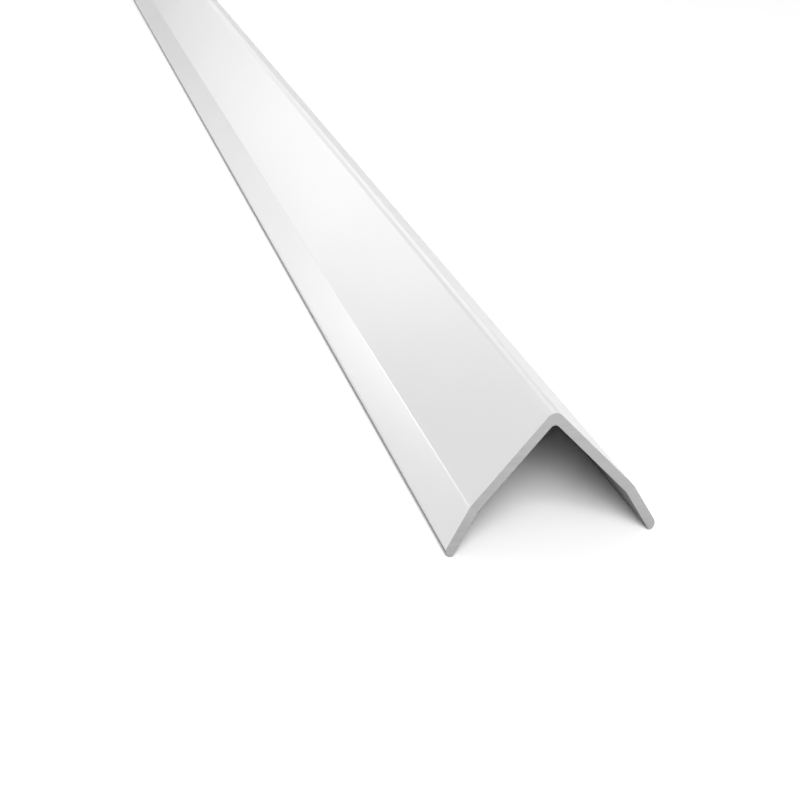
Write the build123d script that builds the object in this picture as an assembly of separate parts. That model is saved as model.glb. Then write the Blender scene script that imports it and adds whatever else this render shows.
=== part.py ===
from build123d import *
import os
from math import cos, radians, sin

os.makedirs("parts", exist_ok=True)

# Sizes in millimetres and degrees
length = 1000.0
wall = 1.5
wing = 18.75  # outer face, from the sharp apex corner to the sharp lip bend
lip = 8.15  # outer face, from the sharp lip bend to the lip's end
apex_angle = 84.0  # between the two wings
lip_bend = 12.5  # a lip's turn inwards from its wing
apex_outer_radius = 1.4
apex_inner_radius = 0.8
bend_outer_radius = 2.0
bend_inner_radius = 0.5
tip_inner_radius = 0.2
tip_flat = 0.1  # on a lip's end, between its two roundings

# Lean of each face from the vertical
wing_lean = radians(apex_angle / 2)
lip_lean = wing_lean - radians(lip_bend)
bend_lean = (wing_lean + lip_lean) / 2


def down(lean):
    return Vector(sin(lean), -cos(lean))


def inwards(lean):
    return Vector(-cos(lean), -sin(lean))


# A lip's outer corner takes the rest of the wall
tip_outer_radius = wall - tip_inner_radius - tip_flat

# Sharp corners of the right half of the section, with the rounded tips standing on Z = 0
tip_lift = tip_inner_radius * (cos(lip_lean) + sin(lip_lean) - 1)
apex_height = wing * cos(wing_lean) + lip * cos(lip_lean) + wall * sin(lip_lean) - tip_lift
apex_outer = Vector(0, apex_height)
apex_inner = apex_outer - Vector(0, wall / sin(wing_lean))
bend_outer = apex_outer + down(wing_lean) * wing
bend_inner = bend_outer + inwards(bend_lean) * (wall / cos(bend_lean - lip_lean))
tip_outer = bend_outer + down(lip_lean) * lip
tip_inner = tip_outer + inwards(lip_lean) * wall

# Outline round the section, each corner with its radius
right_side = [
    (bend_outer, bend_outer_radius),
    (tip_outer, tip_outer_radius),
    (tip_inner, tip_inner_radius),
    (bend_inner, bend_inner_radius),
]
left_side = [(Vector(-corner.X, corner.Y), radius) for corner, radius in reversed(right_side)]
outline = [
    (apex_outer, apex_outer_radius),
    *right_side,
    (apex_inner, apex_inner_radius),
    *left_side,
]
corners = [corner for corner, radius in outline]
radii = [radius for corner, radius in outline]

# One length of the section along Y
with BuildPart() as trim:
    with BuildSketch(Plane.XZ):
        with BuildLine():
            FilletPolyline(*corners, radius=radii, close=True)
        make_face()
    extrude(amount=length / 2, both=True)

export_step(trim.part, "parts/edge_trim.step")
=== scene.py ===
import bpy
import math
from mathutils import Matrix, Vector


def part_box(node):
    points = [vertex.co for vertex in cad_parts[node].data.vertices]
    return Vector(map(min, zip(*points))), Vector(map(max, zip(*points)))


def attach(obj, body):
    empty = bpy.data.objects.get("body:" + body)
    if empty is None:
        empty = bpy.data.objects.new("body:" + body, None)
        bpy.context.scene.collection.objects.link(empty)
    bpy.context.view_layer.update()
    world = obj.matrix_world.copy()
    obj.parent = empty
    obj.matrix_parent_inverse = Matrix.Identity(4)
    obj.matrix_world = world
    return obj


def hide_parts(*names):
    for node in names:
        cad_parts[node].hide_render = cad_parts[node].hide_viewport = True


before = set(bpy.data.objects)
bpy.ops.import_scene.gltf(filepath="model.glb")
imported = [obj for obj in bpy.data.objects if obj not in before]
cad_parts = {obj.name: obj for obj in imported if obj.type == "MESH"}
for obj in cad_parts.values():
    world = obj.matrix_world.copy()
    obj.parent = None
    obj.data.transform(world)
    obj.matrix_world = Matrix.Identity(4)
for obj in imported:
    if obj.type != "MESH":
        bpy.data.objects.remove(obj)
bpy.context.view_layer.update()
trimLow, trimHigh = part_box("edge_trim")
mm = 0.001
print("frame loaded, trim is", [round(v, 4) for v in trimHigh - trimLow], "m")


def linear(hexColor):
    # sRGB hex to the linear colour a shader takes
    parts = [int(hexColor[i:i + 2], 16) / 255 for i in (1, 3, 5)]
    return [c / 12.92 if c <= 0.04045 else ((c + 0.055) / 1.055) ** 2.4 for c in parts] + [1.0]


def addNode(mat, kind, settings=None, inputs=None, links=None):
    # one node, its settings, its fixed inputs and what is linked into it
    node = mat.node_tree.nodes.new(kind)
    for key, value in (settings or {}).items():
        setattr(node, key, value)
    for key, value in (inputs or {}).items():
        node.inputs[key].default_value = value
    for key, source in (links or {}).items():
        mat.node_tree.links.new(source, node.inputs[key])
    return node


def newMaterial(name):
    mat = bpy.data.materials.new(name)
    mat.use_nodes = True
    mat.node_tree.nodes.clear()
    return mat


# the trim, sizes in mm and degrees, the same section as the solid
trim = {
    "wall": 1.5,
    "wing": 18.75,
    "lip": 8.15,
    "apexAngle": 84.0,
    "lipBend": 12.5,
    "apexOuter": 1.4,
    "apexInner": 0.8,
    "bendOuter": 2.0,
    "bendInner": 0.5,
    "tipOuter": 1.2,
    "tipInner": 0.2,
    "endBreak": 0.04,  # burr taken off round the sawn ends
    "arcSteps": 10,  # segments of the apex and of the lip's outer end
    "bendOuterSteps": 4,
    "bendInnerSteps": 3,
    "tipInnerSteps": 4,
    "endBreakSteps": 2,
    "smoothAngle": 40.0,
    "endFacing": 0.9,  # a face whose normal lies this much along Y is a sawn end
    "pickGap": 0.05,  # an edge this near to a section point is picked
    "mirrorGap": 0.01,
    "weldGap": 0.001,
}
length = trimHigh.y - trimLow.y
wingLean = math.radians(trim["apexAngle"] / 2)  # from the vertical
lipLean = wingLean - math.radians(trim["lipBend"])
wall = trim["wall"] * mm
apexRise = trim["apexOuter"] * mm * (1 / math.sin(wingLean) - 1)  # sharp corner above the rounding
apexPoint = Vector((0, 0, trimHigh.z + apexRise))
wingDown = Vector((math.sin(wingLean), 0, -math.cos(wingLean)))
lipDown = Vector((math.sin(lipLean), 0, -math.cos(lipLean)))


def deselectMesh(obj, kind):
    # leaves object mode with no vertex, edge or face selected
    bpy.ops.object.select_all(action="DESELECT")
    obj.select_set(True)
    bpy.context.view_layer.objects.active = obj
    bpy.ops.object.mode_set(mode="EDIT")
    bpy.ops.mesh.select_mode(type=kind)
    bpy.ops.mesh.select_all(action="DESELECT")
    bpy.ops.object.mode_set(mode="OBJECT")


def selectLongEdges(obj, spots):
    # edges along Y that pass through the section points, left selected in edit mode
    deselectMesh(obj, "EDGE")
    picked = 0
    for edge in obj.data.edges:
        a, b = [obj.data.vertices[i].co for i in edge.vertices]
        if abs(a.y - b.y) < length / 2:
            continue
        if any(math.hypot(a.x - s.x, a.z - s.z) < trim["pickGap"] * mm for s in spots):
            edge.select = True
            picked += 1
    bpy.ops.object.mode_set(mode="EDIT")
    return picked


def bevelSelected(offset, steps, profile):
    bpy.ops.mesh.bevel(
        offset_type="OFFSET", offset=offset, segments=steps, profile=profile,
        affect="EDGES", clamp_overlap=False,
    )
    bpy.ops.object.mode_set(mode="OBJECT")


def roundEdges(obj, spots, radius, turn, steps):
    picked = selectLongEdges(obj, spots)
    offset = radius * mm * math.tan(turn / 2)
    profile = (1 - 0.5 / (1 + math.cos(turn / 2))) ** 2  # keeps the bevel on a true arc at any turn
    bevelSelected(offset, steps, profile)
    print("  rounded", picked, "edges to", radius, "mm")


def bothSides(point):
    return [point, Vector((-point.x, point.y, point.z))]


def makeTrim():
    bpy.ops.object.select_all(action="DESELECT")
    # right wing: a sheet with its top edge on the sharp apex
    bpy.ops.mesh.primitive_plane_add(size=1, location=(0, 0, 0))
    obj = bpy.context.active_object
    obj.name = obj.data.name = "edge_trim_length"
    bpy.ops.object.mode_set(mode="EDIT")
    bpy.ops.mesh.select_all(action="SELECT")
    bpy.ops.transform.resize(value=(trim["wing"] * mm, length, 1))
    bpy.ops.transform.translate(value=(trim["wing"] * mm / 2, 0, 0))
    tilt = wingLean - math.pi / 2
    bpy.ops.transform.rotate(value=tilt, orient_axis="Y", center_override=(0, 0, 0))
    bpy.ops.transform.translate(value=apexPoint)
    bpy.ops.object.mode_set(mode="OBJECT")
    if max(v.co.z for v in obj.data.vertices) > apexPoint.z + mm:
        raise ValueError("the wing was turned up instead of down")
    # lip: the wing's lower edge drawn on
    bendPoint = apexPoint + wingDown * trim["wing"] * mm
    selectLongEdges(obj, [bendPoint])
    bpy.ops.mesh.extrude_region_move(TRANSFORM_OT_translate={"value": lipDown * trim["lip"] * mm})
    bpy.ops.mesh.select_all(action="SELECT")
    bpy.ops.mesh.normals_make_consistent(inside=False)
    bpy.ops.object.mode_set(mode="OBJECT")
    if obj.data.polygons[0].normal.z < 0:
        bpy.ops.object.mode_set(mode="EDIT")
        bpy.ops.mesh.flip_normals()
        bpy.ops.object.mode_set(mode="OBJECT")
    # left half and the wall's thickness
    mirror = obj.modifiers.new("leftHalf", "MIRROR")
    mirror.use_axis = (True, False, False)
    mirror.use_clip = True
    mirror.merge_threshold = trim["mirrorGap"] * mm
    bpy.ops.object.modifier_apply(modifier=mirror.name)
    thick = obj.modifiers.new("wallThickness", "SOLIDIFY")
    thick.thickness = wall
    thick.offset = -1
    thick.use_even_offset = True
    thick.use_quality_normals = True
    bpy.ops.object.modifier_apply(modifier=thick.name)
    # roundings, outside and inside
    apexTurn = math.pi - 2 * wingLean
    bendTurn = math.radians(trim["lipBend"])
    tipTurn = math.pi / 2
    bendLean = (wingLean + lipLean) / 2
    apexIn = apexPoint - Vector((0, 0, wall / math.sin(wingLean)))
    bendAcross = Vector((math.cos(bendLean), 0, math.sin(bendLean)))
    bendIn = bendPoint - bendAcross * (wall / math.cos(bendTurn / 2))
    tipOut = bendPoint + lipDown * trim["lip"] * mm
    tipIn = tipOut - Vector((math.cos(lipLean), 0, math.sin(lipLean))) * wall
    roundEdges(obj, [apexPoint], trim["apexOuter"], apexTurn, trim["arcSteps"])
    roundEdges(obj, [apexIn], trim["apexInner"], apexTurn, trim["arcSteps"])
    roundEdges(obj, bothSides(bendPoint), trim["bendOuter"], bendTurn, trim["bendOuterSteps"])
    roundEdges(obj, bothSides(bendIn), trim["bendInner"], bendTurn, trim["bendInnerSteps"])
    roundEdges(obj, bothSides(tipOut), trim["tipOuter"], tipTurn, trim["arcSteps"])
    roundEdges(obj, bothSides(tipIn), trim["tipInner"], tipTurn, trim["tipInnerSteps"])
    # each sawn end is one face, with the burr taken off its edge
    for side in (-1, 1):
        deselectMesh(obj, "FACE")
        for face in obj.data.polygons:
            face.select = face.normal.y * side > trim["endFacing"]
        bpy.ops.object.mode_set(mode="EDIT")
        bpy.ops.mesh.dissolve_faces()
        bpy.ops.mesh.region_to_loop()
        bevelSelected(trim["endBreak"] * mm, trim["endBreakSteps"], 0.5)
    deselectMesh(obj, "FACE")
    bpy.ops.object.mode_set(mode="EDIT")
    bpy.ops.mesh.select_all(action="SELECT")
    bpy.ops.mesh.remove_doubles(threshold=trim["weldGap"] * mm)
    bpy.ops.mesh.normals_make_consistent(inside=False)
    bpy.ops.object.mode_set(mode="OBJECT")
    bpy.ops.object.shade_smooth_by_angle(angle=math.radians(trim["smoothAngle"]))
    even = obj.modifiers.new("flatFaceNormals", "WEIGHTED_NORMAL")
    even.keep_sharp = True
    bpy.ops.object.modifier_apply(modifier=even.name)
    print("trim modelled,", len(obj.data.polygons), "faces")
    return obj


def finishSurface(mat, look, pattern, relief, fixed):
    # tone and roughness follow the pattern, the bump follows the relief
    tone = addNode(mat, "ShaderNodeValToRGB", links={"Fac": pattern})
    for stop, spot, color in zip(tone.color_ramp.elements, look["toneBand"], look["tones"]):
        stop.position = spot
        stop.color = linear(color)
    roughFrom, roughTo = look["roughBand"], look["roughness"]
    rough = addNode(
        mat, "ShaderNodeMapRange",
        inputs={
            "From Min": roughFrom[0], "From Max": roughFrom[1],
            "To Min": roughTo[0], "To Max": roughTo[1],
        },
        links={"Value": pattern},
    )
    bump = addNode(
        mat, "ShaderNodeBump",
        inputs={"Strength": 1.0, "Distance": look["reliefHeight"] * mm},
        links={"Height": relief},
    )
    shader = addNode(
        mat, "ShaderNodeBsdfPrincipled", inputs=fixed,
        links={
            "Base Color": tone.outputs["Color"],
            "Roughness": rough.outputs["Result"],
            "Normal": bump.outputs["Normal"],
        },
    )
    addNode(mat, "ShaderNodeOutputMaterial", links={"Surface": shader.outputs["BSDF"]})


# white polyester powder coat, sprayed and baked on: satin, neutral, with a faint orange peel in the gloss
coat = {
    "tones": ("#C5C5C5", "#C7C7C7"),  # where the coat is a little thinner, and full
    "toneBand": (0.35, 0.65),  # part of the noise in which the tone turns
    "roughness": (0.235, 0.268),
    "roughBand": (0.3, 0.7),
    "cloudSize": 60.0,  # mm, how broad the tone drifts are
    "cloudDetail": 3.0,
    "peelSize": 1.6,  # mm from crest to crest
    "peelDetail": 2.0,
    "reliefHeight": 0.004,  # mm
    "ior": 1.5,
    "coatStopAndShadeAngle": 2.0,  # degrees above level; the coat stops here and the faces below take the dark primer, which along the lip's end where it turns under is a painted contact shadow line
}


def makeCoat():
    mat = newMaterial("powder_coated_aluminium")
    place = addNode(mat, "ShaderNodeTexCoord").outputs["Object"]
    cloud = addNode(
        mat, "ShaderNodeTexNoise",
        inputs={"Scale": 1 / (coat["cloudSize"] * mm), "Detail": coat["cloudDetail"]},
        links={"Vector": place},
    )
    peel = addNode(
        mat, "ShaderNodeTexNoise",
        inputs={"Scale": 1 / (coat["peelSize"] * mm), "Detail": coat["peelDetail"]},
        links={"Vector": place},
    )
    finishSurface(mat, coat, cloud.outputs["Fac"], peel.outputs["Fac"], {"IOR": coat["ior"]})
    return mat


# back of the coat: a thin grey primer that stays hidden against the wall, matt and a little patchy; its
# dark tone is partly painted shade, standing in for the shade inside the arch
primerAndShade = {
    "tones": ("#646464", "#6E6E6E"),
    "toneBand": (0.35, 0.65),
    "roughness": (0.55, 0.7),
    "roughBand": (0.3, 0.7),
    "patchSize": 25.0,  # mm
    "patchDetail": 4.0,
    "grainSize": 0.8,  # mm, coarser than real spray grain so that it shows
    "grainDetail": 2.0,
    "reliefHeight": 0.006,  # mm
    "ior": 1.5,
}


def makePrimerAndShade():
    mat = newMaterial("primer_and_painted_shade")
    place = addNode(mat, "ShaderNodeTexCoord").outputs["Object"]
    patch = addNode(
        mat, "ShaderNodeTexNoise",
        inputs={"Scale": 1 / (primerAndShade["patchSize"] * mm), "Detail": primerAndShade["patchDetail"]},
        links={"Vector": place},
    )
    grain = addNode(
        mat, "ShaderNodeTexNoise",
        inputs={"Scale": 1 / (primerAndShade["grainSize"] * mm), "Detail": primerAndShade["grainDetail"]},
        links={"Vector": place},
    )
    finishSurface(mat, primerAndShade, patch.outputs["Fac"], grain.outputs["Fac"], {"IOR": primerAndShade["ior"]})
    return mat


# sawn aluminium at the two ends: bare grey metal with the blade's fine straight lines across it
sawn = {
    "tones": ("#A1A1A1", "#ABABAB"),
    "toneBand": (0.3, 0.7),
    "roughness": (0.42, 0.55),
    "roughBand": (0.3, 0.7),
    "lineSpacing": 0.35,  # mm, coarser than a fine blade leaves so that it shows
    "lineLength": 25.0,  # mm
    "lineLean": 18.0,  # degrees from level
    "lineDetail": 3.0,
    "reliefHeight": 0.004,  # mm
}


def makeSawn():
    mat = newMaterial("sawn_aluminium_end")
    place = addNode(mat, "ShaderNodeTexCoord").outputs["Object"]
    spread = addNode(
        mat, "ShaderNodeMapping",
        inputs={
            "Rotation": (0, math.radians(sawn["lineLean"]), 0),
            "Scale": (1 / (sawn["lineLength"] * mm), 1, 1 / (sawn["lineSpacing"] * mm)),
        },
        links={"Vector": place},
    )
    lines = addNode(
        mat, "ShaderNodeTexNoise",
        inputs={"Scale": 1.0, "Detail": sawn["lineDetail"]},
        links={"Vector": spread.outputs["Vector"]},
    )
    finishSurface(mat, sawn, lines.outputs["Fac"], lines.outputs["Fac"], {"Metallic": 1.0})
    return mat


piece = makeTrim()
for mat in (makeCoat(), makePrimerAndShade(), makeSawn()):
    piece.data.materials.append(mat)
coatSlot, primerAndShadeSlot, sawnSlot = range(3)
# faces turned down take the dark primer: the back coat, darkened as painted shade inside the arch, and a
# painted contact shadow line where the lip's end turns under
coatStopAndShadeLevel = math.sin(math.radians(coat["coatStopAndShadeAngle"]))
for face in piece.data.polygons:
    if abs(face.normal.y) > trim["endFacing"]:
        face.material_index = sawnSlot
    elif face.normal.z < coatStopAndShadeLevel:
        face.material_index = primerAndShadeSlot
    else:
        face.material_index = coatSlot
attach(piece, "root")
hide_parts("edge_trim")
print("materials set")

# white studio floor, lit from within beyond the zone round the trim, so that it is white from every side
floor = {
    "size": 12.0,
    "white": "#FBFBFB",
    "roughness": 0.9,
    "unlitZone": (0.27, 0.6),  # metres from the middle, across and along
    "fullGlowAt": 2.0,  # times the unlit zone
    "glow": 0.8,
}
bpy.ops.object.select_all(action="DESELECT")
bpy.ops.mesh.primitive_plane_add(size=floor["size"], location=(0, 0, 0))
floorPlane = bpy.context.active_object
floorPlane.name = "studio_floor"
floorMat = newMaterial("white_studio_floor")
floorPlace = addNode(floorMat, "ShaderNodeTexCoord").outputs["Object"]
zone = addNode(
    floorMat, "ShaderNodeMapping",
    inputs={"Scale": (1 / floor["unlitZone"][0], 1 / floor["unlitZone"][1], 1)},
    links={"Vector": floorPlace},
)
away = addNode(floorMat, "ShaderNodeVectorMath", {"operation": "LENGTH"}, links={0: zone.outputs["Vector"]})
glow = addNode(
    floorMat, "ShaderNodeMapRange",
    inputs={"From Min": 1.0, "From Max": floor["fullGlowAt"], "To Min": 0.0, "To Max": floor["glow"]},
    links={"Value": away.outputs["Value"]},
)
floorShader = addNode(
    floorMat, "ShaderNodeBsdfPrincipled",
    inputs={
        "Base Color": linear(floor["white"]),
        "Roughness": floor["roughness"],
        "Specular IOR Level": 0.0,
        "Emission Color": (1, 1, 1, 1),
    },
    links={"Emission Strength": glow.outputs["Result"]},
)
addNode(floorMat, "ShaderNodeOutputMaterial", links={"Surface": floorShader.outputs["BSDF"]})
floorPlane.data.materials.append(floorMat)

# soft light: the front softboxes reach in under the wings, the panels behind give the sheen along the faces
nearEnd = Vector((0, trimLow.y, 0))
studio = {
    "surround": 0.255,
    "backdrop": 1.0,  # what shows behind the floor
    "panels": {  # metres from the near end's middle on the floor
        "frontLowSoftbox": {
            "at": (-0.175, -0.947, 0.57), "aim": (0, 0.1, 0.01), "size": (0.5, 0.34), "watts": 9.4,
        },
        "frontHighSoftbox": {
            "at": (-0.103, -0.742, 0.859), "aim": (0, 0.1, 0.01), "size": (0.5, 0.35), "watts": 6.98,
        },
        "overheadSoftbox": {
            "at": (-0.051, -0.488, 1.168), "aim": (0, 0.1, 0.01), "size": (0.5, 0.35), "watts": 1.05,
        },
        "backHighSoftbox": {
            "at": (0, 0.962, 1.113), "aim": (0, 0.1, 0.01), "size": (0.9, 0.4), "watts": 6.8,
        },
        "backWideSoftbox": {
            "at": (-0.27, 4.004, 1.045), "aim": (0, 0.15, 0.01), "size": (2.7, 1.26), "watts": 15.9,
        },
        "backRightSoftbox": {
            "at": (1.539, 3.776, 0.705), "aim": (0, 0.15, 0.01), "size": (1.1, 0.8), "watts": 6.5,
        },
        "ridgePanel": {
            "at": (0.322, 1.223, 0.58), "aim": (0, 0.1, 0.01), "size": (0.3, 0.3), "watts": 0.504,
        },
        "wingFarPanel": {
            "at": (-0.88, 3.364, 0.63), "aim": (0, 0.08, 0.005), "size": (0.4, 0.8), "watts": 1.23,
        },
        "wingNearPanel": {
            "at": (-1.218, 3.254, 0.63), "aim": (0, 0.08, 0.005), "size": (0.4, 0.8), "watts": 1.73,
        },
        "lipFarPanel": {
            "at": (-1.075, 2.881, 0.12), "aim": (0, 0.08, 0.005), "size": (0.3, 0.19), "watts": 0.6,
        },
        "lipNearPanel": {
            "at": (-1.454, 2.704, 0.12), "aim": (0, 0.08, 0.005), "size": (0.4, 0.19), "watts": 3.06,
        },
    },
}
world = bpy.data.worlds.new("studio_surround")
bpy.context.scene.world = world
world.use_nodes = True
background = world.node_tree.nodes["Background"]
background.inputs["Color"].default_value = (1, 1, 1, 1)
ray = addNode(world, "ShaderNodeLightPath")
level = addNode(
    world, "ShaderNodeMapRange",
    inputs={"To Min": studio["surround"], "To Max": studio["backdrop"]},
    links={"Value": ray.outputs["Is Camera Ray"]},
)
world.node_tree.links.new(level.outputs["Result"], background.inputs["Strength"])
for name, panel in studio["panels"].items():
    light = bpy.data.lights.new(name, "AREA")
    light.shape = "RECTANGLE"
    light.size, light.size_y = panel["size"]
    light.energy = panel["watts"]
    lamp = bpy.data.objects.new(name, light)
    bpy.context.scene.collection.objects.link(lamp)
    lamp.visible_camera = False
    lamp.location = nearEnd + Vector(panel["at"])
    lightPath = nearEnd + Vector(panel["aim"]) - lamp.location
    lamp.rotation_euler = lightPath.to_track_quat("-Z", "Y").to_euler()

# camera on the near end, from the left and above
photoCamera = {
    "fromApex": (-68.17, -186.94, 89.56),  # mm from the sharp apex at the near end
    "yaw": 13.71,  # degrees to the right of the trim's length
    "pitch": 23.95,  # degrees downwards
    "roll": -0.93,
    "lens": 69.3,
    "sensor": 36.0,
    "clipStart": 0.01,  # metres
}
cameraData = bpy.data.cameras.new("photo_camera")
cameraData.lens = photoCamera["lens"]
cameraData.sensor_width = photoCamera["sensor"]
cameraData.clip_start = photoCamera["clipStart"]
camera = bpy.data.objects.new("photo_camera", cameraData)
bpy.context.scene.collection.objects.link(camera)
camera.location = apexPoint + nearEnd + Vector(photoCamera["fromApex"]) * mm
yaw, pitch, roll = [math.radians(photoCamera[k]) for k in ("yaw", "pitch", "roll")]
heading = Matrix.Rotation(-yaw, 3, "Z")
lookDown = Matrix.Rotation(math.pi / 2 - pitch, 3, "X")
camera.rotation_euler = (heading @ lookDown @ Matrix.Rotation(roll, 3, "Z")).to_euler()
bpy.context.scene.camera = camera
bpy.context.scene.view_settings.view_transform = "Standard"
print("light and camera set")
